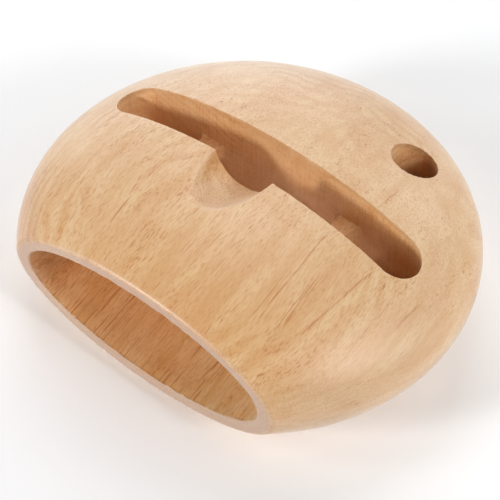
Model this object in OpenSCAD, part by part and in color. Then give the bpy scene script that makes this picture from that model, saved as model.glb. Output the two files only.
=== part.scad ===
// Passive phone amplifier: a wooden pebble with a slot for a phone, a horn that carries the sound
// out of the front, and a hole for a pen. Two milled halves are glued on three dowels.
// Millimetres, +Z up, the mouth of the horn faces -Y. The part stands on Z = 0, centred on X and Y.

/* [Body] */
// Width of the oval body at the glue line, where it is widest
body_w = 113.8; // [100:0.1:150]
// Length of the full oval from front to back, before the front is cut flat
body_l = 111; // [98:0.1:150]
// Height of the dome above the glue line
dome_h = 24.4; // [22:0.1:36]
// Depth of the full lower curve below the glue line, before the base is cut flat
belly_h = 24.4; // [22:0.1:36]
// Height of the slice cut off the belly to leave a flat base
base_cut = 3.2; // [1:0.1:6]
// Depth of the slice cut off the front of the oval, which opens the mouth
front_cut = 15.5; // [10:0.1:22]

/* [Horn] */
// Wood left at each end of the oval mouth
rim_side = 4.1; // [3:0.1:10]
// Wood left above the oval mouth
rim_top = 2.7; // [2:0.1:8]
// Wood left below the oval mouth
rim_bottom = 3.9; // [2.5:0.1:8]
// Width of the horn under the front wall of the slot, as a share of the mouth's width
throat_share = 0.85; // [0.6:0.01:1]
// Angle by which the horn dips toward the back, so that its floor runs level
horn_dip = 3.6; // [0:0.1:8]

/* [Phone slot] */
// Length of the slot over its round ends
slot_len = 90; // [70:0.5:96]
// Width of the slot, for a phone in a case
slot_w = 11.8; // [8:0.1:16]
// Distance of the slot's front wall behind the middle of the full oval
slot_setback = -0.5; // [-6:0.1:8]
// Depth of the two rests below the top of the dome
rest_depth = 13.6; // [8:0.1:16]
// Distance between the inner faces of the two rests
rest_gap = 37.2; // [20:0.1:50]
// Width of each rest along the slot
rest_w = 4.8; // [3:0.1:10]
// Radius of the cutter that leaves a round inner corner between each rest and the slot's walls
rest_fillet = 2; // [1:0.1:4]

/* [Finger scoop] */
// Radius of the round cutter that hollows the front lip
scoop_r = 9; // [5:0.1:14]
// Depth of the scoop below the top of the dome, at the slot
scoop_depth = 7.2; // [3:0.1:9]
// Angle at which the scoop rises toward the front
scoop_rise = 21; // [12:0.5:40]
// Offset of the scoop from the middle of the slot
scoop_x = -1.2; // [-8:0.1:8]

/* [Pen hole] */
// Diameter of the pen hole
pen_d = 11.6; // [7:0.1:14]
// Depth of the pen hole below the dome, on its axis
pen_depth = 25; // [18:0.5:27]
// Pen hole to the right of the middle
pen_x = 24.5; // [14:0.1:30]
// Pen hole behind the middle of the full oval
pen_back = 32.4; // [24:0.1:35]

/* [Joint] */
// Diameter of the dowels
dowel_d = 6; // [4:0.5:8]
// Length of the dowels
dowel_len = 14; // [8:0.5:16]
// Depth left for glue beyond each end of a dowel
glue_room = 0.5; // [0.2:0.1:1.5]
// Side dowels in front of the middle of the full oval
side_dowel_front = 15; // [8:0.5:20]
// Back dowel behind the middle of the full oval
back_dowel_y = 37; // [26:0.5:42]

/* [Feet] */
// Diameter of each anti-slip pad
foot_d = 9; // [5:0.5:12]
// Thickness of each pad
foot_t = 1.5; // [0.8:0.1:3]
// Distance from the middle of the full oval to the middle of each pad
foot_reach = 19.5; // [12:0.5:26]

/* [Hidden] */
$fn = 96;
over = 1;
half_w = body_w / 2;
half_l = body_l / 2;
glue_z = foot_t + belly_h - base_cut;
// The middle of the full oval stands in front of the middle of the cut outline
oval_y = -front_cut / 2;
mouth_y = oval_y - half_l + front_cut;
// Share of the full oval that is left in the plane of the mouth
mouth_share = sqrt(1 - pow((mouth_y - oval_y) / half_l, 2));
mouth_w = 2 * (half_w * mouth_share - rim_side);
mouth_top = dome_h * mouth_share - rim_top;
mouth_bottom = belly_h * mouth_share - rim_bottom;
mouth_up = (mouth_top + mouth_bottom) / 2;
mouth_z = glue_z + (mouth_top - mouth_bottom) / 2;
slot_front = oval_y + slot_setback;
slot_y = slot_front + slot_w / 2;
slot_back = slot_front + slot_w;
rest_z = glue_z + dome_h - rest_depth;
scoop_z = glue_z + dome_h - scoop_depth;
pen_y = oval_y + pen_back;
pen_floor = glue_z + dome_h * sqrt(1 - pow(pen_x / half_w, 2) - pow(pen_back / half_l, 2)) - pen_depth;
// The side dowels stand half-way between the horn and the skin
side_dowel_x = (mouth_w / 2 + half_w * sqrt(1 - pow(side_dowel_front / half_l, 2))) / 2;
side_dowel_y = oval_y - side_dowel_front;
foot_angles = [225, 315, 45, 135];

// Half of an ellipse of radius r and height h, right of the axis and above the line Z = 0
module half_oval(r, h) {
  intersection() {
    scale([1, h / r]) circle(r = r);
    square([r + over, h + over]);
  }
}

// Half of the oval body in four quarter turns, standing on the glue line
module body_half(h) {
  scale([1, body_l / body_w, 1])
    for (turn = [0, 90, 180, 270]) rotate(turn) rotate_extrude(angle = 90) half_oval(half_w, h);
}

module dome() {
  translate([0, oval_y, glue_z]) body_half(dome_h);
}

// Lower half of the oval body, with its flat base
module belly() {
  difference() {
    translate([0, oval_y, glue_z]) mirror([0, 0, 1]) body_half(belly_h);
    translate([-half_w, oval_y - half_l, foot_t - belly_h]) cube([body_w, body_l, belly_h]);
  }
}

// Everything in front of the flat face that the mouth opens in
module front_slice() {
  translate([-half_w, mouth_y - half_l, 0]) cube([body_w, half_l, glue_z + dome_h + over]);
}

// Oval horn that narrows and dips from the mouth to the back wall of the slot
module horn() {
  run = slot_front - mouth_y;
  taper = mouth_w / 2 * (1 - throat_share) / run;
  deep = run + slot_w + mouth_up;
  intersection() {
    translate([0, mouth_y, mouth_z]) rotate([-90 - horn_dip, 0, 0])
      scale([1, 2 * mouth_up / mouth_w, 1])
        translate([0, 0, -mouth_up])
          cylinder(r1 = mouth_w / 2 + taper * mouth_up, r2 = mouth_w / 2 - taper * deep, h = mouth_up + deep);
    translate([-half_w, mouth_y - mouth_up, 0])
      cube([body_w, slot_back - mouth_y + mouth_up, glue_z + dome_h]);
  }
}

// Outline of the slot from above, a straight run with round ends
module slot_outline() {
  straight = slot_len - slot_w;
  square([straight, slot_w], center = true);
  for (side = [-1, 1]) translate([side * straight / 2, 0]) circle(d = slot_w);
}

// Outline of a well of the slot's width, with round inner corners
module well(length) {
  square([length - 2 * rest_fillet, slot_w], center = true);
  square([length, slot_w - 2 * rest_fillet], center = true);
  for (x = [-1, 1], y = [-1, 1])
    translate([x * (length / 2 - rest_fillet), y * (slot_w / 2 - rest_fillet)]) circle(r = rest_fillet);
}

// Slot as deep as the rests, and below it the three wells that leave the rests standing
module slot() {
  outer_well = slot_len - rest_gap - 2 * rest_w;
  translate([0, slot_y, rest_z]) linear_extrude(dome_h) slot_outline();
  translate([0, slot_y, glue_z - over]) linear_extrude(rest_z - glue_z + 2 * over)
    intersection() {
      slot_outline();
      union() {
        well(rest_gap);
        for (side = [-1, 1]) translate([side * slot_len / 2, 0]) well(outer_well);
      }
    }
}

// Round cutter that leaves the finger scoop in the front lip, running out in the open slot
module scoop() {
  translate([scoop_x, slot_front, scoop_z]) rotate([90 - scoop_rise, 0, 0])
    translate([0, scoop_r, -slot_w / 2]) cylinder(r = scoop_r, h = half_l);
}

module pen_hole() {
  translate([pen_x, pen_y, pen_floor]) cylinder(d = pen_d, h = dome_h + belly_h);
}

// Places its children at the middle of a dowel
module at_dowel(which) {
  spot = which == "back" ? [0, oval_y + back_dowel_y]
       : [(which == "left" ? -1 : 1) * side_dowel_x, side_dowel_y];
  translate([spot[0], spot[1], glue_z]) children();
}

module dowel_holes() {
  for (which = ["left", "right", "back"])
    at_dowel(which) cylinder(d = dowel_d, h = dowel_len + 2 * glue_room, center = true);
}

// Dome with the slot, its rests, the scoop, the pen hole and the roof of the horn
module upper_shell() {
  color([0.86, 0.70, 0.50])
    difference() {
      dome();
      front_slice();
      horn();
      slot();
      scoop();
      pen_hole();
      dowel_holes();
    }
}

// Belly with the flat base, the floor of the horn and the bottom of the pen hole
module lower_shell() {
  color([0.84, 0.68, 0.48])
    difference() {
      belly();
      front_slice();
      horn();
      pen_hole();
      dowel_holes();
    }
}

module dowel(which) {
  color([0.80, 0.66, 0.46])
    at_dowel(which) cylinder(d = dowel_d, h = dowel_len, center = true);
}

module foot(corner) {
  color([0.20, 0.20, 0.21])
    translate([foot_reach * cos(foot_angles[corner]), oval_y + foot_reach * sin(foot_angles[corner]), 0])
      cylinder(d = foot_d, h = foot_t);
}

upper_shell();
lower_shell();
dowel("left");  // dowel_left
dowel("right");  // dowel_right
dowel("back");  // dowel_back
foot(0);  // foot_front_left
foot(1);  // foot_front_right
foot(2);  // foot_back_right
foot(3);  // foot_back_left
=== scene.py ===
"""A passive phone amplifier milled from pale wood, on a studio floor.

The two wooden shells are drawn from distance fields, so that their edges are rounded over as the
sanded edges of the real ones are. The dowels and the feet are the CAD pieces themselves.
"""

import math

import bmesh
import bpy
import numpy as np
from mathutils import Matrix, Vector


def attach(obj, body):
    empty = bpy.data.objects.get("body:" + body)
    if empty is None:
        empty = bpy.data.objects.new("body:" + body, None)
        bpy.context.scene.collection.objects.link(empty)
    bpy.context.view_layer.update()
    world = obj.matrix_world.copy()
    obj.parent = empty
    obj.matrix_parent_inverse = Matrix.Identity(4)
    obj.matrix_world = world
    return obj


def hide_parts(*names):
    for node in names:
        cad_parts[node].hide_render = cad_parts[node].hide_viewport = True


MM = 0.001

# Driving sizes of the wooden body in millimetres, as in the CAD source
HALF_W, HALF_L, HALF_H = 56.9, 55.5, 24.4
BASE_CUT, FRONT_CUT, FOOT_T = 3.2, 15.5, 1.5
RIM_SIDE, RIM_TOP, RIM_BOTTOM = 4.1, 2.7, 3.9
THROAT_SHARE, HORN_DIP = 0.85, math.radians(3.6)
SLOT_LEN, SLOT_W, SLOT_SETBACK = 90.0, 11.8, -0.5
REST_DEPTH, REST_GAP, REST_W, REST_FILLET = 13.6, 37.2, 4.8, 2.0
SCOOP_R, SCOOP_DEPTH, SCOOP_X, SCOOP_RISE = 9.0, 7.2, -1.2, math.radians(21)
PEN_R, PEN_DEPTH, PEN_X, PEN_BACK = 5.8, 25.0, 24.5, 32.4
DOWEL_R, DOWEL_LEN, GLUE_ROOM = 3.0, 14.0, 0.5
SIDE_DOWEL_FRONT, BACK_DOWEL_BACK = 15.0, 37.0

# Places and sizes that follow from them
BASE_Z = FOOT_T
GLUE_Z = FOOT_T + HALF_H - BASE_CUT
OVAL_Y = -FRONT_CUT / 2
MOUTH_Y = OVAL_Y - HALF_L + FRONT_CUT
MOUTH_SHARE = math.sqrt(1 - ((MOUTH_Y - OVAL_Y) / HALF_L) ** 2)
MOUTH_W = 2 * (HALF_W * MOUTH_SHARE - RIM_SIDE)
MOUTH_UP = HALF_H * MOUTH_SHARE - (RIM_TOP + RIM_BOTTOM) / 2
MOUTH_Z = GLUE_Z + (RIM_BOTTOM - RIM_TOP) / 2
SLOT_FRONT = OVAL_Y + SLOT_SETBACK
SLOT_BACK = SLOT_FRONT + SLOT_W
REST_Z = GLUE_Z + HALF_H - REST_DEPTH
SCOOP_Z = GLUE_Z + HALF_H - SCOOP_DEPTH
PEN_Y = OVAL_Y + PEN_BACK
PEN_TOP = GLUE_Z + HALF_H * math.sqrt(1 - (PEN_X / HALF_W) ** 2 - (PEN_BACK / HALF_L) ** 2)
PEN_FLOOR = PEN_TOP - PEN_DEPTH
DOWEL_HALF = DOWEL_LEN / 2 + GLUE_ROOM
SKIN_AT_DOWEL = HALF_W * math.sqrt(1 - (SIDE_DOWEL_FRONT / HALF_L) ** 2)
SIDE_DOWEL_X = (MOUTH_W / 2 + SKIN_AT_DOWEL) / 2
SIDE_DOWEL_Y = OVAL_Y - SIDE_DOWEL_FRONT
BACK_DOWEL_Y = OVAL_Y + BACK_DOWEL_BACK

# Radii of the sanded edges
RIM_OUTER, RIM_INNER, BASE_EDGE = 0.8, 0.3, 0.9
LIP_EDGE, REST_EDGE = 0.2, 0.25
# Edges that turn by more than this stay sharp in the shading
SHARP_ANGLE = math.radians(50)

# Grid of the surface, reach of its slopes and how firmly a point holds to the middle of its cell
STEP, PROBE, HOLD = 0.5, 0.02, 0.05
# Cells whose mean slope is shorter than this hold an edge
EDGE_LEAN = 0.85
# Height of the body that is drawn past the glue line before the cut
GLUE_SPARE = 2.0


def rounded_common(a, b, radius):
    """The field of what lies in both a and b, with the edge between them rounded."""
    corner = np.hypot(np.maximum(a + radius, 0), np.maximum(b + radius, 0))
    return np.minimum(np.maximum(a, b), -radius) + corner


def rounded_cut(solid, tool, radius):
    return rounded_common(solid, -tool, radius)


def oval_distance(offsets, half_axes):
    """Distance to an oval of the given half axes, true near its surface."""
    share = np.sqrt(sum((o / h) ** 2 for o, h in zip(offsets, half_axes)))
    slope = np.sqrt(sum((o / h**2) ** 2 for o, h in zip(offsets, half_axes)))
    return share * (share - 1) / np.maximum(slope, 1e-6)


def oval_body(x, y, z):
    """The oval pebble with its flat base and the flat face of the mouth."""
    body = oval_distance((x, y - OVAL_Y, z - GLUE_Z), (HALF_W, HALF_L, HALF_H))
    body = rounded_common(body, MOUTH_Y - y, RIM_OUTER)
    return rounded_common(body, BASE_Z - z, BASE_EDGE)


def horn(x, y, z):
    """The oval horn, which narrows and dips from the mouth to the back wall of the slot."""
    along = (y - MOUTH_Y) * math.cos(HORN_DIP) - (z - MOUTH_Z) * math.sin(HORN_DIP)
    up = (y - MOUTH_Y) * math.sin(HORN_DIP) + (z - MOUTH_Z) * math.cos(HORN_DIP)
    taper = MOUTH_W / 2 * (1 - THROAT_SHARE) / (SLOT_FRONT - MOUTH_Y)
    half_w = MOUTH_W / 2 - taper * along
    sides = oval_distance((x, up), (half_w, half_w * 2 * MOUTH_UP / MOUTH_W))
    return np.maximum(sides, y - SLOT_BACK)


def well(x, y, middle, half_length):
    """Distance in plan to a well of the slot's width, with round inner corners."""
    past_x = np.abs(x - middle) - half_length + REST_FILLET
    past_y = np.abs(y - SLOT_FRONT - SLOT_W / 2) - SLOT_W / 2 + REST_FILLET
    corner = np.hypot(np.maximum(past_x, 0), np.maximum(past_y, 0))
    return corner + np.minimum(np.maximum(past_x, past_y), 0) - REST_FILLET


def slot(x, y, z):
    """The phone slot with its round ends, open downward except at the two rests."""
    past_straight = np.maximum(np.abs(x) - (SLOT_LEN - SLOT_W) / 2, 0)
    outline = np.hypot(past_straight, y - SLOT_FRONT - SLOT_W / 2) - SLOT_W / 2
    middle_well = well(x, y, 0, REST_GAP / 2)
    outer_wells = well(np.abs(x), y, SLOT_LEN / 2, SLOT_LEN / 2 - REST_GAP / 2 - REST_W)
    rests = rounded_common(-np.minimum(middle_well, outer_wells), z - REST_Z, REST_EDGE)
    return np.maximum(outline, -rests)


def scoop(x, y, z):
    """The round cutter that hollows the front lip, rising toward the front."""
    across = (y - SLOT_FRONT) * math.sin(SCOOP_RISE) + (z - SCOOP_Z) * math.cos(SCOOP_RISE)
    back = (y - SLOT_FRONT) * math.cos(SCOOP_RISE) - (z - SCOOP_Z) * math.sin(SCOOP_RISE)
    return np.maximum(np.hypot(x - SCOOP_X, across - SCOOP_R) - SCOOP_R, back - SLOT_W / 2)


def pen_hole(x, y, z):
    return np.maximum(np.hypot(x - PEN_X, y - PEN_Y) - PEN_R, PEN_FLOOR - z)


def dowel_holes(x, y, z):
    side = np.hypot(np.abs(x) - SIDE_DOWEL_X, y - SIDE_DOWEL_Y)
    back = np.hypot(x, y - BACK_DOWEL_Y)
    return np.maximum(np.minimum(side, back) - DOWEL_R, np.abs(z - GLUE_Z) - DOWEL_HALF)


def lower_body(x, y, z):
    """The oval body with the cuts that reach below the glue line."""
    body = rounded_cut(oval_body(x, y, z), horn(x, y, z), RIM_INNER)
    body = rounded_cut(body, pen_hole(x, y, z), LIP_EDGE)
    return np.maximum(body, -dowel_holes(x, y, z))


def upper_body(x, y, z):
    """The oval body with all its cuts."""
    body = rounded_cut(lower_body(x, y, z), slot(x, y, z), LIP_EDGE)
    return rounded_cut(body, scoop(x, y, z), LIP_EDGE)


def slope_at(field, points):
    """Unit vectors out of the surface at the given points."""
    steps = np.eye(3) * PROBE
    slope = np.stack([field(*(points + d).T) - field(*(points - d).T) for d in steps], 1)
    return slope / np.maximum(np.linalg.norm(slope, axis=1, keepdims=True), 1e-9)


def surface(field, low, high):
    """Points and four-sided faces of the surface where the field is zero, one point in each grid cell.

    Each point is put where the tangent planes of its cell meet, so that edges come out straight.
    """
    axes = [np.arange(a - 2 * STEP, b + 2 * STEP, STEP) for a, b in zip(low, high)]
    origin = np.array([a[0] for a in axes])
    inside = field(*np.meshgrid(*axes, indexing="ij", sparse=True)) < 0
    size = np.array(inside.shape)

    # A cell that has corners on both sides of the surface gets a point
    corners = [(i, j, k) for i in (0, 1) for j in (0, 1) for k in (0, 1)]
    part = [inside[i : size[0] - 1 + i, j : size[1] - 1 + j, k : size[2] - 1 + k] for i, j, k in corners]
    filled = np.sum(part, axis=0, dtype=np.int8)
    cells = np.argwhere((filled > 0) & (filled < 8))
    name = np.full(size - 1, -1, np.int64)
    name[tuple(cells.T)] = np.arange(len(cells))

    # A grid edge that crosses the surface gives a face between the four cells around it
    spots, slopes, owners, faces = [], [], [], []
    for axis in range(3):
        first, second = (axis + 1) % 3, (axis + 2) % 3
        near = [slice(None)] * 3
        far = [slice(None)] * 3
        near[axis], far[axis] = slice(None, -1), slice(1, None)
        edges = np.argwhere(inside[tuple(near)] != inside[tuple(far)])
        within = (edges[:, [first, second]] > 0) & (edges[:, [first, second]] < size[[first, second]] - 1)
        edges = edges[within.all(1)]
        leaving = inside[tuple(near)][tuple(edges.T)]
        ring = []
        for down_first, down_second in ((0, 0), (1, 0), (1, 1), (0, 1)):
            cell = edges.copy()
            cell[:, first] -= down_first
            cell[:, second] -= down_second
            ring.append(name[tuple(cell.T)])
        quads = np.stack(ring, 1)
        faces.append(np.where(leaving[:, None], quads, quads[:, ::-1]))

        start = origin + edges * STEP
        reach = np.full(len(edges), 0.5)
        for halving in range(2, 10):
            beyond = (field(*(start + reach[:, None] * np.eye(3)[axis] * STEP).T) < 0) != leaving
            reach += np.where(beyond, -1, 1) * 0.5**halving
        spot = start + reach[:, None] * np.eye(3)[axis] * STEP
        slope = slope_at(field, spot)
        for owner in ring:
            spots.append(spot)
            slopes.append(slope)
            owners.append(owner)

    # The point of each cell is solved from the crossings on its edges
    spots, slopes, owners = np.concatenate(spots), np.concatenate(slopes), np.concatenate(owners)
    count = np.maximum(np.bincount(owners, minlength=len(cells)), 1)
    middle = np.stack([np.bincount(owners, s, len(cells)) for s in spots.T], 1) / count[:, None]
    ahead = (slopes * (spots - middle[owners])).sum(1)
    pull = np.zeros((len(cells), 3, 3))
    goal = np.zeros((len(cells), 3))
    for i in range(3):
        goal[:, i] = np.bincount(owners, slopes[:, i] * ahead, len(cells))
        for j in range(3):
            pull[:, i, j] = np.bincount(owners, slopes[:, i] * slopes[:, j], len(cells))
    pull += np.eye(3) * HOLD
    points = middle + np.linalg.solve(pull, goal[:, :, None])[:, :, 0]
    corner = origin + cells * STEP
    points = np.clip(points, corner, corner + STEP)

    # Points away from the edges are drawn onto the surface itself
    lean = np.stack([np.bincount(owners, s, len(cells)) for s in slopes.T], 1) / count[:, None]
    smooth = np.linalg.norm(lean, axis=1) > EDGE_LEAN
    for _ in range(3):
        rest = points[smooth]
        points[smooth] = rest - np.clip(field(*rest.T), -PROBE, PROBE)[:, None] * slope_at(field, rest)
    return points, np.concatenate(faces)


def shell(name, field, keep_above):
    """One half of the body, cut flat at the glue line."""
    low = (-HALF_W, MOUTH_Y, GLUE_Z - GLUE_SPARE if keep_above else BASE_Z)
    high = (HALF_W, OVAL_Y + HALF_L, GLUE_Z + (HALF_H if keep_above else GLUE_SPARE))
    points, faces = surface(field, low, high)
    mesh = bpy.data.meshes.new(name)
    mesh.from_pydata((points * MM).tolist(), [], faces.tolist())
    solid = bmesh.new()
    solid.from_mesh(mesh)
    cut = bmesh.ops.bisect_plane(
        solid,
        geom=solid.verts[:] + solid.edges[:] + solid.faces[:],
        plane_co=(0, 0, GLUE_Z * MM),
        plane_no=(0, 0, 1),
        clear_outer=not keep_above,
        clear_inner=keep_above,
    )
    rim = [e for e in cut["geom_cut"] if isinstance(e, bmesh.types.BMEdge)]
    bmesh.ops.triangle_fill(solid, edges=rim, use_beauty=True)
    # Two sheets of the surface can meet in one cell at a sharp lip
    pinched = [e for e in solid.edges if len(e.link_faces) > 2]
    bmesh.ops.collapse(solid, edges=pinched)
    bmesh.ops.recalc_face_normals(solid, faces=solid.faces[:])
    for face in solid.faces:
        face.smooth = True
    solid.to_mesh(mesh)
    solid.free()
    mesh.set_sharp_from_angle(angle=SHARP_ANGLE)
    piece = bpy.data.objects.new(name, mesh)
    bpy.context.scene.collection.objects.link(piece)
    return piece


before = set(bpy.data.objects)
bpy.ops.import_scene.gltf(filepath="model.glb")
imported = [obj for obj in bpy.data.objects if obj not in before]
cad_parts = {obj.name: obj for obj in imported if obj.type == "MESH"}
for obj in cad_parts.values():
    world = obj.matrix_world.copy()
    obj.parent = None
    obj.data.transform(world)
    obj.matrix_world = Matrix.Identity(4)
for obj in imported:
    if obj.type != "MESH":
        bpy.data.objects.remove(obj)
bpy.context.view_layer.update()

upper = shell("upper_wood", upper_body, True)
lower = shell("lower_wood", lower_body, False)
for piece, node in ((upper, "upper_shell"), (lower, "lower_shell")):
    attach(piece, "root")
    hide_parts(node)


class Graph:
    """A material's nodes, built from the texture to the shader."""

    def __init__(self, name):
        self.material = bpy.data.materials.new(name)
        self.material.use_nodes = True
        self.tree = self.material.node_tree
        self.shader = self.tree.nodes["Principled BSDF"]
        # The point on the object in millimetres, in the row frame
        coordinates = self.add("ShaderNodeTexCoord", {}).outputs["Object"]
        self.place = self.vector("SCALE", coordinates, scale=1 / MM)

    def add(self, kind, sockets, **settings):
        node = self.tree.nodes.new(kind)
        for key, value in settings.items():
            setattr(node, key, value)
        for key, value in sockets.items():
            self.give(node.inputs[key], value)
        return node

    def give(self, socket, value):
        if isinstance(value, bpy.types.NodeSocket):
            self.tree.links.new(value, socket)
        else:
            socket.default_value = value

    def vector(self, operation, a, b=None, scale=None):
        sockets = {0: a}
        if b is not None:
            sockets[1] = b
        if scale is not None:
            sockets["Scale"] = scale
        return self.add("ShaderNodeVectorMath", sockets, operation=operation).outputs["Vector"]

    def length(self, vector):
        return self.add("ShaderNodeVectorMath", {0: vector}, operation="LENGTH").outputs["Value"]

    def math(self, operation, a, b=0.0):
        return self.add("ShaderNodeMath", {0: a, 1: b}, operation=operation).outputs["Value"]

    def product(self, first, *others):
        for other in others:
            first = self.math("MULTIPLY", first, other)
        return first

    def noise(self, vector, per_mm, detail=0.0, output="Fac"):
        """Noise with the given number of grains per millimetre along each axis."""
        sockets = {"Vector": self.vector("MULTIPLY", vector, per_mm), "Scale": 1.0, "Detail": detail}
        return self.add("ShaderNodeTexNoise", sockets).outputs[output]

    def span(self, value, low, high, to_low=0.0, to_high=1.0):
        """The value taken from one range to another with soft ends."""
        sockets = {"Value": value, "From Min": low, "From Max": high, "To Min": to_low, "To Max": to_high}
        return self.add("ShaderNodeMapRange", sockets, interpolation_type="SMOOTHSTEP").outputs["Result"]

    def mix(self, share, a, b, blend="MIX"):
        node = self.add("ShaderNodeMix", {}, data_type="RGBA", blend_type=blend)
        colours = [s for s in node.inputs if s.type == "RGBA"]
        self.give(node.inputs["Factor"], share)
        self.give(colours[0], a)
        self.give(colours[1], b)
        return next(s for s in node.outputs if s.type == "RGBA")

    def tint(self, share, wood, shade):
        """The wood with its colour multiplied by the shade, as far as the share goes."""
        return self.mix(share, wood, (*shade, 1.0), "MULTIPLY")

    def finish(self, **sockets):
        for key, value in sockets.items():
            self.give(self.shader.inputs[key.replace("_", " ")], value)
        return self.material


def colour(red, green, blue):
    """A colour given as seen on a screen, 0 to 255, in the linear values that shaders take."""
    return tuple(((c / 255 + 0.055) / 1.055) ** 2.4 for c in (red, green, blue)) + (1.0,)


# Colours of the wood
EARLY_WOOD, LATE_WOOD, BLUSH = colour(234, 196, 147), colour(224, 176, 120), colour(225, 176, 125)
STREAK, FIBRE, PORE = colour(214, 158, 92), colour(211, 153, 86), colour(192, 112, 46)
DARK_LINE, HORN_LINE, END_GRAIN = colour(188, 102, 4), colour(172, 96, 44), colour(184, 116, 58)
MILL_MARK, BARE_RIM = colour(176, 116, 72), colour(178, 143, 121)

# Shades that multiply the red, green and blue of the wood: first those of the sanded skin, of which the
# last four are painted shade and sheen
GOLDEN, PALE_LEFT, LEFT_FLANK_SHADE = (0.97, 0.90, 0.79), (1.02, 1.05, 1.11), (0.87, 0.83, 0.84)
FLANK_SHADE, LOW_RIGHT_SHEEN, RIM_ROUNDING_SHADE = (0.90, 0.90, 0.91), (0.95, 1.0, 1.13), (0.80, 0.78, 0.76)
# Shades of the cut walls: all but the first are painted light and shade, the last a painted sheen
WARMER_CUT, DEEP_CUT_SHADE, SCOOP_SHADE = (1.0, 0.97, 0.93), (0.92, 0.87, 0.84), (0.92, 0.86, 0.71)
SLOT_LEFT_LIGHT, SLOT_RIGHT_LIGHT, REST_TOP_LIGHT = (1.25, 1.36, 1.50), (1.22, 1.22, 1.12), (1.25, 1.25, 1.25)
PEN_LEFT_LIGHT, PEN_RIGHT_SHADE = (1.32, 1.42, 1.55), (0.78, 0.74, 0.86)
HORN_LIGHT, HORN_LEFT_LIGHT, HORN_RIGHT_SHEEN = (1.14, 1.17, 1.18), (1.13, 1.12, 1.10), (0.88, 1.0, 1.08)

# Middle line of the tree, seen along Y, the thickness of a growth layer and how much it wanders
PITH, LAYER_STEP, LAYER_WAVES = (14.0, 0.0, 190.0), 2.6, 4.0
# Slope of the fibres toward the back in the upper half, and to the left in the lower half
FIBRE_CLIMB, FIBRE_LEAN = math.tan(math.radians(13)), -0.16

# Long dark lines of the grain on the dome: where they start and end, seen from above, and their width
GRAIN_LINES = (
    ((27.0, -38.0), (25.5, -9.5), 0.4),
    ((36.0, -33.5), (38.5, -10.0), 0.4),
    ((49.5, -16.5), (49.5, -7.0), 0.4),
    ((29.0, 4.0), (28.5, 12.5), 0.35),
)


def fibre_place(g, axes):
    """The point in a space in which the wandering fibres run straight along Y."""
    slow = g.noise(g.place, (0.03, 0.012, 0.03), 1.0, "Color")
    wander = g.vector("MULTIPLY", g.vector("SUBTRACT", slow, (0.5, 0.5, 0.5)), (9.0, 0.0, 4.0))
    climb = g.span(axes["Z"], GLUE_Z - 4, GLUE_Z + 10, 0.0, FIBRE_CLIMB)
    lean = g.span(axes["Z"], GLUE_Z - 4, GLUE_Z + 4, FIBRE_LEAN, 0.0)
    offsets = {"X": g.product(axes["Y"], lean), "Z": g.product(axes["Y"], climb)}
    lift = g.add("ShaderNodeCombineXYZ", offsets).outputs["Vector"]
    return g.vector("SUBTRACT", g.vector("ADD", g.place, wander), lift)


def late_wood(g, axes, fibre):
    """Share of late wood in the growth layers, which lie almost level about an axis far above."""
    from_pith = g.vector("MULTIPLY", g.vector("SUBTRACT", fibre, PITH), (1.0, 0.0, 1.0))
    uneven = g.noise(fibre, (0.07, 0.035, 0.07), 2.0)
    count = g.math("DIVIDE", g.length(from_pith), LAYER_STEP)
    phase = g.math("ADD", count, g.product(uneven, LAYER_WAVES))
    layer = g.span(g.math("SINE", g.product(phase, 2 * math.pi)), -0.6, 1.0)
    patches = g.span(g.noise(g.place, (0.045, 0.045, 0.045), 1.0), 0.40, 0.62)
    fading = g.span(axes["X"], 25.0, 45.0, 1.0, 0.6)
    return g.product(layer, patches, fading)


def open_pores(g, axes, fibre, late):
    """Short dark dashes along the fibres, in rows and closer in late wood, fewer at the two ends."""
    rows = g.span(g.noise(fibre, (0.22, 0.02, 0.22), 2.0), 0.36, 0.62, 0.45, 1.0)
    in_late = g.span(late, 0.1, 0.8, 0.55, 1.0)
    toward_ends = g.span(g.math("ABSOLUTE", axes["X"]), 36.0, 50.0, 1.0, 0.55)
    dashes = g.span(g.noise(fibre, (3.4, 0.7, 3.4)), 0.56, 0.70)
    return g.product(dashes, rows, in_late, toward_ends)


def grain_line(g, axes, breaks, start, end, width):
    """A dark grain line seen from above, from start to end, as a share from 0 to 1."""
    lean = (end[0] - start[0]) / (end[1] - start[1])
    across = g.math("SUBTRACT", axes["X"], g.product(axes["Y"], lean))
    bend = g.product(g.math("SINE", g.product(axes["Y"], 0.35)), 0.15)
    aside = g.math("ADD", g.math("SUBTRACT", across, start[0] - lean * start[1]), bend)
    near = g.span(g.math("ABSOLUTE", aside), 0.0, width, 1.0, 0.0)
    broken = g.span(breaks, 0.3, 0.6, 0.3, 1.0)
    begun = g.span(axes["Y"], start[1] - 1.0, start[1] + 3.0)
    ended = g.span(axes["Y"], end[1] - 2.0, end[1] + 1.0, 1.0, 0.0)
    return g.product(near, broken, begun, ended)


def slot_walls(g, wood, axes, walls):
    """The wood with painted light in the slot, which makes it paler at its two ends and on top of the
    rests.
    """
    before_pen = g.span(axes["Y"], SLOT_BACK, SLOT_BACK + 1.0, 1.0, 0.0)
    right_end = g.span(axes["X"], 20.0, 34.0)
    high_up = g.span(axes["Z"], REST_Z + 2, REST_Z + 5)
    wood = g.tint(g.product(walls, before_pen, right_end, high_up), wood, SLOT_RIGHT_LIGHT)
    left_end = g.span(axes["X"], -42.0, -37.0, 1.0, 0.0)
    wood = g.tint(g.product(walls, before_pen, left_end), wood, SLOT_LEFT_LIGHT)

    from_rest = g.math("SUBTRACT", g.math("ABSOLUTE", axes["X"]), (REST_GAP + REST_W) / 2)
    over_rest = g.span(g.math("ABSOLUTE", from_rest), REST_W / 2, REST_W / 2 + 0.4, 1.0, 0.0)
    at_top = g.span(axes["Z"], REST_Z - 0.6, REST_Z - 0.3)
    not_above = g.span(axes["Z"], REST_Z, REST_Z + 0.2, 1.0, 0.0)
    return g.tint(g.product(over_rest, at_top, not_above, before_pen), wood, REST_TOP_LIGHT)


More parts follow.
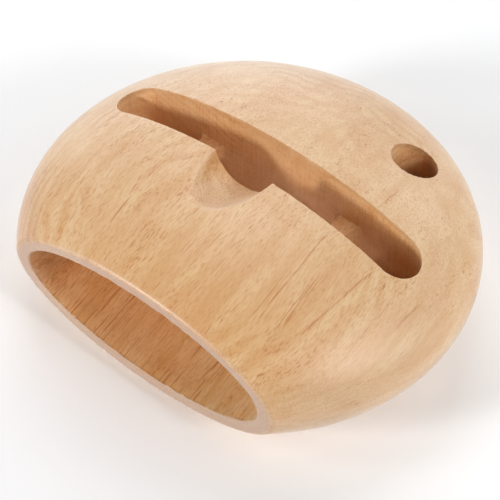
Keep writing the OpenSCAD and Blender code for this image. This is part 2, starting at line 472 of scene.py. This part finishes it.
def pen_walls(g, wood, axes, walls):
    """The wood with painted light high on the left of the pen hole and painted shade on its right."""
    in_hole = g.product(walls, g.span(axes["Y"], PEN_Y - PEN_R - 3.0, PEN_Y - PEN_R - 1.0))
    high_up = g.span(axes["Z"], 29.0, 35.0)
    to_left = g.span(axes["X"], PEN_X - 2, PEN_X + 1, 1.0, 0.0)
    wood = g.tint(g.product(in_hole, high_up, to_left), wood, PEN_LEFT_LIGHT)
    to_right = g.span(axes["X"], PEN_X - 2, PEN_X + 2)
    return g.tint(g.product(in_hole, to_right), wood, PEN_RIGHT_SHADE)


def horn_walls(g, wood, axes, walls, thin):
    """The wood of the horn: painted light makes it paler, most on its left, a painted sheen makes its
    right side less red, and it is scored along the fibres.
    """
    wood = g.tint(walls, wood, HORN_LIGHT)
    wood = g.tint(g.product(walls, g.span(axes["X"], -5.0, 25.0)), wood, HORN_RIGHT_SHEEN)
    wood = g.tint(g.product(walls, g.span(axes["X"], -30.0, -10.0, 1.0, 0.0)), wood, HORN_LEFT_LIGHT)
    scores = g.span(thin, 0.50, 0.68, 0.0, 0.3)
    return g.mix(g.product(walls, scores), wood, HORN_LINE)


def scoop_wall(g, wood, fibre, wall):
    """The wood with painted shade in the scoop, which also shows more end grain."""
    wood = g.tint(wall, wood, SCOOP_SHADE)
    specks = g.span(g.noise(fibre, (1.6, 0.3, 3.2), 1.0), 0.52, 0.68, 0.0, 0.6)
    return g.mix(g.product(wall, specks), wood, END_GRAIN)


def cut_walls(g, wood, axes, fibre, thin):
    """The wood with the tints of the slot, the pen hole, the horn and the scoop, most of them painted
    light and shade.
    """
    from_middle = g.vector("SUBTRACT", g.place, (0.0, OVAL_Y, GLUE_Z))
    depth = g.length(g.vector("DIVIDE", from_middle, (HALF_W, HALF_L, HALF_H)))
    behind_lip = g.span(axes["Y"], SLOT_FRONT - 0.5, SLOT_FRONT + 0.5)
    under_scoop = g.span(axes["Z"], SCOOP_Z - 4, SCOOP_Z - 2, 1.0, 0.0)
    cut = g.product(g.span(depth, 0.94, 0.98, 1.0, 0.0), g.math("MAXIMUM", behind_lip, under_scoop))
    upright = g.product(cut, behind_lip)
    in_horn = g.product(cut, g.span(axes["Y"], SLOT_FRONT - 6, SLOT_FRONT, 1.0, 0.0))
    in_scoop = g.math("SUBTRACT", g.span(depth, 0.94, 0.985, 1.0, 0.0), cut)

    # All cut walls are a little warmer than the sanded skin, and the upright ones get painted shade deep
    # down
    wood = g.tint(cut, wood, WARMER_CUT)
    deep = g.span(axes["Z"], REST_Z + 0.5, REST_Z + 5.5, 1.0, 0.0)
    wood = g.tint(g.product(upright, deep), wood, DEEP_CUT_SHADE)
    wood = slot_walls(g, wood, axes, upright)
    wood = pen_walls(g, wood, axes, upright)
    wood = horn_walls(g, wood, axes, in_horn, thin)
    wood = scoop_wall(g, wood, fibre, in_scoop)
    # The mill leaves upright marks on the walls of the slot and the pen hole
    marks = g.span(g.noise(g.place, (1.7, 0.3, 0.07), 2.0), 0.5, 0.72, 0.0, 0.3)
    return g.mix(g.product(upright, marks), wood, MILL_MARK)


def mouth_rim(g, wood, axes):
    """The wood with a paler flat rim around the mouth, and painted shade on the rounding outside it that
    dims its highlight.
    """
    frayed = g.span(g.noise(g.place, (1.8, 1.8, 1.8), 3.0), 0.3, 0.7, 0.55, 0.95)
    flat = g.span(axes["Y"], MOUTH_Y + 0.02, MOUTH_Y + 0.25, 1.0, 0.0)
    wood = g.mix(g.product(flat, frayed), wood, BARE_RIM)
    past_flat = g.span(axes["Y"], MOUTH_Y + 0.1, MOUTH_Y + 0.25)
    on_rounding = g.span(axes["Y"], MOUTH_Y + 0.4, MOUTH_Y + 0.9, 1.0, 0.0)
    return g.tint(g.product(past_flat, on_rounding, frayed), wood, RIM_ROUNDING_SHADE)


def skin_shades(g, wood, axes):
    """The wood with slow changes of colour over the sanded skin, with painted shade and painted sheen on
    its flanks.
    """
    # The dome is more golden toward the front right and paler toward the left
    to_front = g.span(axes["Y"], -45.0, -12.0, 1.0, 0.0)
    to_right = g.span(axes["X"], -35.0, 15.0)
    on_dome = g.span(axes["Z"], 28.0, 38.0)
    wood = g.tint(g.product(to_front, to_right, on_dome), wood, GOLDEN)
    to_left = g.span(axes["X"], -30.0, -5.0, 1.0, 0.0)
    high_up = g.span(axes["Z"], 33.0, 37.0)
    wood = g.tint(g.product(to_left, high_up), wood, PALE_LEFT)

    # Painted shade makes both flanks darker at the front, and a painted sheen makes the right one greyer
    # low down
    at_right = g.span(axes["X"], 28.0, 44.0)
    at_front = g.span(axes["Y"], -37.0, -24.0, 1.0, 0.0)
    under_dome = g.span(axes["Z"], 28.0, 35.0, 1.0, 0.0)
    wood = g.tint(g.product(at_right, at_front, under_dome), wood, FLANK_SHADE)
    at_left = g.span(axes["X"], -36.0, -28.0, 1.0, 0.0)
    near_rim = g.span(axes["Z"], 31.0, 36.0, 1.0, 0.0)
    wood = g.tint(g.product(at_left, at_front, near_rim), wood, LEFT_FLANK_SHADE)
    low_down = g.span(axes["Z"], 19.0, 27.0, 1.0, 0.0)
    return g.tint(g.product(at_right, low_down), wood, LOW_RIGHT_SHEEN)


def body_wood():
    """Pale wood with its fibres along Y: growth layers, fibre streaks, dark lines and open pores."""
    g = Graph("body_wood")
    axes = g.add("ShaderNodeSeparateXYZ", {"Vector": g.place}).outputs
    fibre = fibre_place(g, axes)
    late = late_wood(g, axes, fibre)
    pore = open_pores(g, axes, fibre, late)
    blush = g.noise(fibre, (0.16, 0.06, 0.16), 3.0)
    streak = g.noise(fibre, (0.30, 0.012, 0.30), 3.0)
    fine = g.noise(fibre, (3.0, 0.35, 3.0), 2.0)
    thin = g.noise(fibre, (3.0, 0.05, 3.0), 1.0)
    sparse = g.noise(fibre, (0.33, 0.025, 0.33))
    line = g.product(g.span(thin, 0.58, 0.70), g.span(sparse, 0.56, 0.66))
    for start, end, width in GRAIN_LINES:
        line = g.math("MAXIMUM", line, grain_line(g, axes, fine, start, end, width))

    wood = g.mix(late, EARLY_WOOD, LATE_WOOD)
    wood = g.mix(g.span(blush, 0.35, 0.65, 0.0, 0.6), wood, BLUSH)
    wood = g.mix(g.span(streak, 0.42, 0.72, 0.0, 0.5), wood, STREAK)
    wood = g.mix(g.span(fine, 0.42, 0.72, 0.0, 0.5), wood, FIBRE)
    wood = g.mix(g.product(pore, 0.65), wood, PORE)
    wood = g.mix(g.product(line, 0.7), wood, DARK_LINE)

    wood = skin_shades(g, wood, axes)
    wood = cut_walls(g, wood, axes, fibre, thin)
    wood = mouth_rim(g, wood, axes)
    relief = {"Strength": 0.12, "Distance": 0.0001, "Height": g.math("SUBTRACT", 1.0, pore)}
    return g.finish(
        Base_Color=wood,
        Roughness=g.span(fine, 0.3, 0.7, 0.40, 0.48),
        Normal=g.add("ShaderNodeBump", relief).outputs["Normal"],
        Coat_Weight=1.0,
        Coat_Roughness=0.5,
        Coat_IOR=1.75,
        Sheen_Weight=0.45,
        Sheen_Roughness=0.28,
    )


def dowel_wood():
    g = Graph("dowel_wood")
    streak = g.noise(g.place, (2.0, 2.0, 0.1), 2.0)
    return g.finish(Base_Color=g.mix(streak, colour(214, 176, 128), colour(190, 148, 100)), Roughness=0.7)


def pad_rubber():
    g = Graph("pad_rubber")
    grain = g.noise(g.place, (6.0, 6.0, 6.0), 2.0)
    return g.finish(Base_Color=g.mix(grain, colour(28, 28, 29), colour(44, 44, 46)), Roughness=0.85)


def floor_paper():
    g = Graph("floor_paper")
    grain = g.noise(g.place, (0.02, 0.02, 0.02), 2.0)
    paper = g.mix(grain, colour(247, 248, 250), colour(251, 252, 253))
    return g.finish(Base_Color=paper, Roughness=0.9, Emission_Color=paper, Emission_Strength=0.08)


def studio_floor():
    """A pale floor that runs far past the picture."""
    mesh = bpy.data.meshes.new("floor")
    far = 3.0
    corners = [(-far, -far, 0), (far, -far, 0), (far, far, 0), (-far, far, 0)]
    mesh.from_pydata(corners, [], [(0, 1, 2, 3)])
    mesh.materials.append(floor_paper())
    floor = bpy.data.objects.new("floor", mesh)
    bpy.context.scene.collection.objects.link(floor)


# Round lamps: name, place and width in metres, and power in watts
LAMPS = (
    ("key", (-0.32, -0.75, 0.37), 0.18, 4.1),
    ("fill", (-0.43, -0.56, 0.53), 0.20, 0.8),
    ("front", (0.20, -0.74, 0.50), 0.25, 0.4),
    ("side", (0.80, -0.06, 0.53), 0.20, 2.7),
    ("high_side", (0.61, 0.0, 0.73), 0.35, 0.8),
    ("right", (0.82, 0.35, 0.16), 0.50, 1.0),
    ("right_back", (0.65, 0.65, 0.55), 0.50, 0.6),
    ("back", (0.10, 0.90, 0.50), 0.60, 2.3),
    ("left_back", (-0.54, 0.71, 0.28), 0.60, 1.7),
    ("top", (-0.30, 0.35, 0.85), 0.60, 2.4),
    ("left", (-0.80, 0.35, 0.24), 0.50, 1.0),
)
# Place that the lamps are aimed at
LAMP_AIM = Vector((0.0, 0.0, 0.03))


def soft_light(name, spot, size, power):
    """A round area lamp, aimed at the part."""
    lamp = bpy.data.lights.new(name, "AREA")
    lamp.shape, lamp.size, lamp.energy = "DISK", size, power
    light = bpy.data.objects.new(name, lamp)
    light.location = spot
    light.rotation_euler = (LAMP_AIM - Vector(spot)).to_track_quat("-Z", "Y").to_euler()
    bpy.context.scene.collection.objects.link(light)


def studio_light():
    world = bpy.data.worlds.new("studio")
    world.use_nodes = True
    background = world.node_tree.nodes["Background"]
    background.inputs["Color"].default_value = (1.0, 1.0, 1.0, 1.0)
    background.inputs["Strength"].default_value = 0.02
    bpy.context.scene.world = world
    for lamp in LAMPS:
        soft_light(*lamp)


def photo_camera():
    """The camera of the photo: its place, aim and lens come from the outline of the oval body."""
    azimuth, elevation, distance = math.radians(39.62), math.radians(48.75), 0.43228
    aim_right, aim_down = 0.00018, 0.00345
    toward = Vector((math.sin(azimuth), -math.cos(azimuth), 0.0))
    back = toward * math.cos(elevation) + Vector((0.0, 0.0, math.sin(elevation)))
    right = Vector((math.cos(azimuth), math.sin(azimuth), 0.0))
    up = back.cross(right)
    centre = Vector((0.0, OVAL_Y, GLUE_Z)) * MM
    data = bpy.data.cameras.new("camera")
    data.sensor_width, data.lens = 36.0, 128.37
    camera = bpy.data.objects.new("camera", data)
    camera.location = centre + back * distance
    aim = centre + right * aim_right - up * aim_down
    camera.rotation_euler = (aim - camera.location).to_track_quat("-Z", "Y").to_euler()
    bpy.context.scene.collection.objects.link(camera)
    bpy.context.scene.camera = camera


wood = body_wood()
for piece in (upper, lower):
    piece.data.materials.append(wood)
for prefix, material in (("dowel", dowel_wood()), ("foot", pad_rubber())):
    for name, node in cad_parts.items():
        if name.startswith(prefix):
            node.data.materials.clear()
            node.data.materials.append(material)

bpy.context.scene.view_settings.view_transform = "Standard"
studio_floor()
studio_light()
photo_camera()
